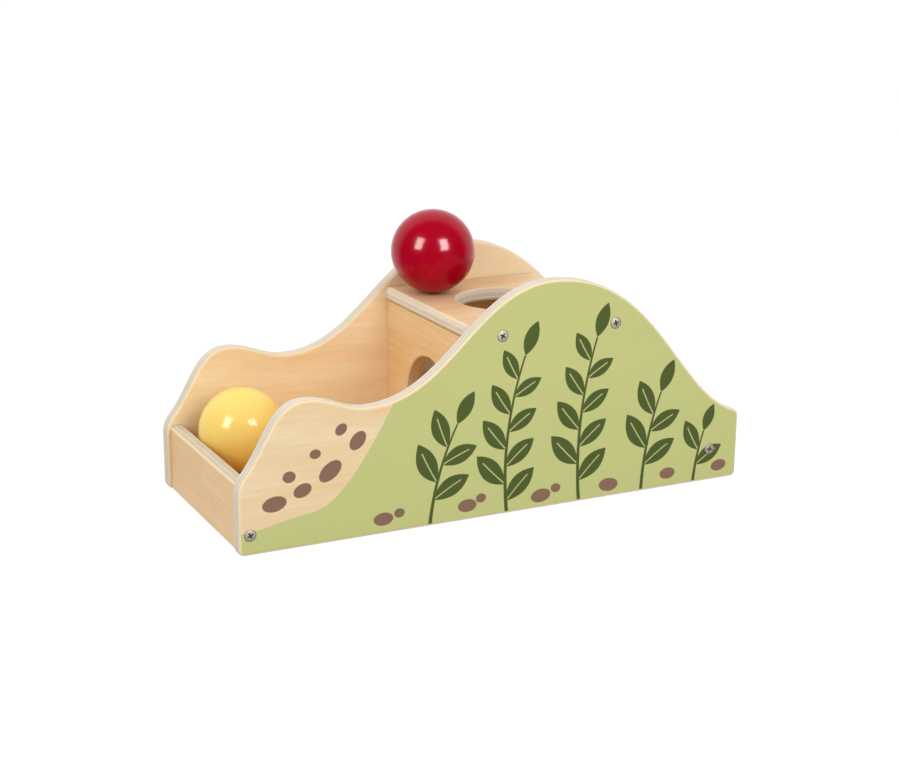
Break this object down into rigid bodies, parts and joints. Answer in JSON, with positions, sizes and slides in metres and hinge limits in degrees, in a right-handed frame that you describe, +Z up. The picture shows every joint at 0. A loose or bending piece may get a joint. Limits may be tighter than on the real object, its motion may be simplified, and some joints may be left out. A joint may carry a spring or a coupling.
{
  "type": "object permanence box",
  "caption": "Wooden ball-drop toy: outline-cut plywood sides, a top board with a drop hole, and a sloping floor that rolls a dropped ball out of an exit hole into an open tray.",
  "frame": {"origin": "middle of the toy's footprint, on the ground that the two side panels stand on", "axes": "+X from the head to the tail, +Y from the left side panel to the right one, +Z up"},
  "size_m": [0.296, 0.121, 0.148],
  "materials": {
    "printed_ply": "birch plywood, printed outside, clear satin lacquer",
    "birch_ply": "birch plywood, clear satin lacquer",
    "red_lacquer": "gloss red lacquer on wood",
    "yellow_lacquer": "gloss yellow lacquer on wood",
    "screw_nickel": "nickel-plated steel",
    "dowel_beech": "plain beech"
  },
  "bodies": {
    "box": {"left_side_panel": "printed_ply", "right_side_panel": "printed_ply", "front_board": "birch_ply", "tray_floor": "birch_ply", "exit_wall": "birch_ply", "box_ramp": "birch_ply", "rear_wall": "birch_ply", "top_board": "birch_ply", "tail_board": "birch_ply", "left_front_screw": "screw_nickel", "left_deck_front_screw": "screw_nickel", "left_deck_rear_screw": "screw_nickel", "left_tail_screw": "screw_nickel", "right_front_screw": "screw_nickel", "right_deck_front_screw": "screw_nickel", "right_deck_rear_screw": "screw_nickel", "right_tail_screw": "screw_nickel", "front_floor_dowels": "dowel_beech", "exit_floor_dowels": "dowel_beech", "rear_floor_dowels": "dowel_beech", "exit_top_dowels": "dowel_beech", "rear_top_dowels": "dowel_beech"},
    "red_ball": {"red_ball": "red_lacquer"},
    "yellow_ball": {"yellow_ball": "yellow_lacquer"}
  },
  "joints": [
    {"name": "red_ball_roll", "type": "slide", "parent": "box", "child": "red_ball", "axis": [0.7381, -0.6747, 0], "range_m": [0, 0.0425]},
    {"name": "yellow_ball_roll", "type": "slide", "parent": "box", "child": "yellow_ball", "axis": [0.9685, -0.2427, 0.0558], "range_m": [0, 0.151]}
  ]
}
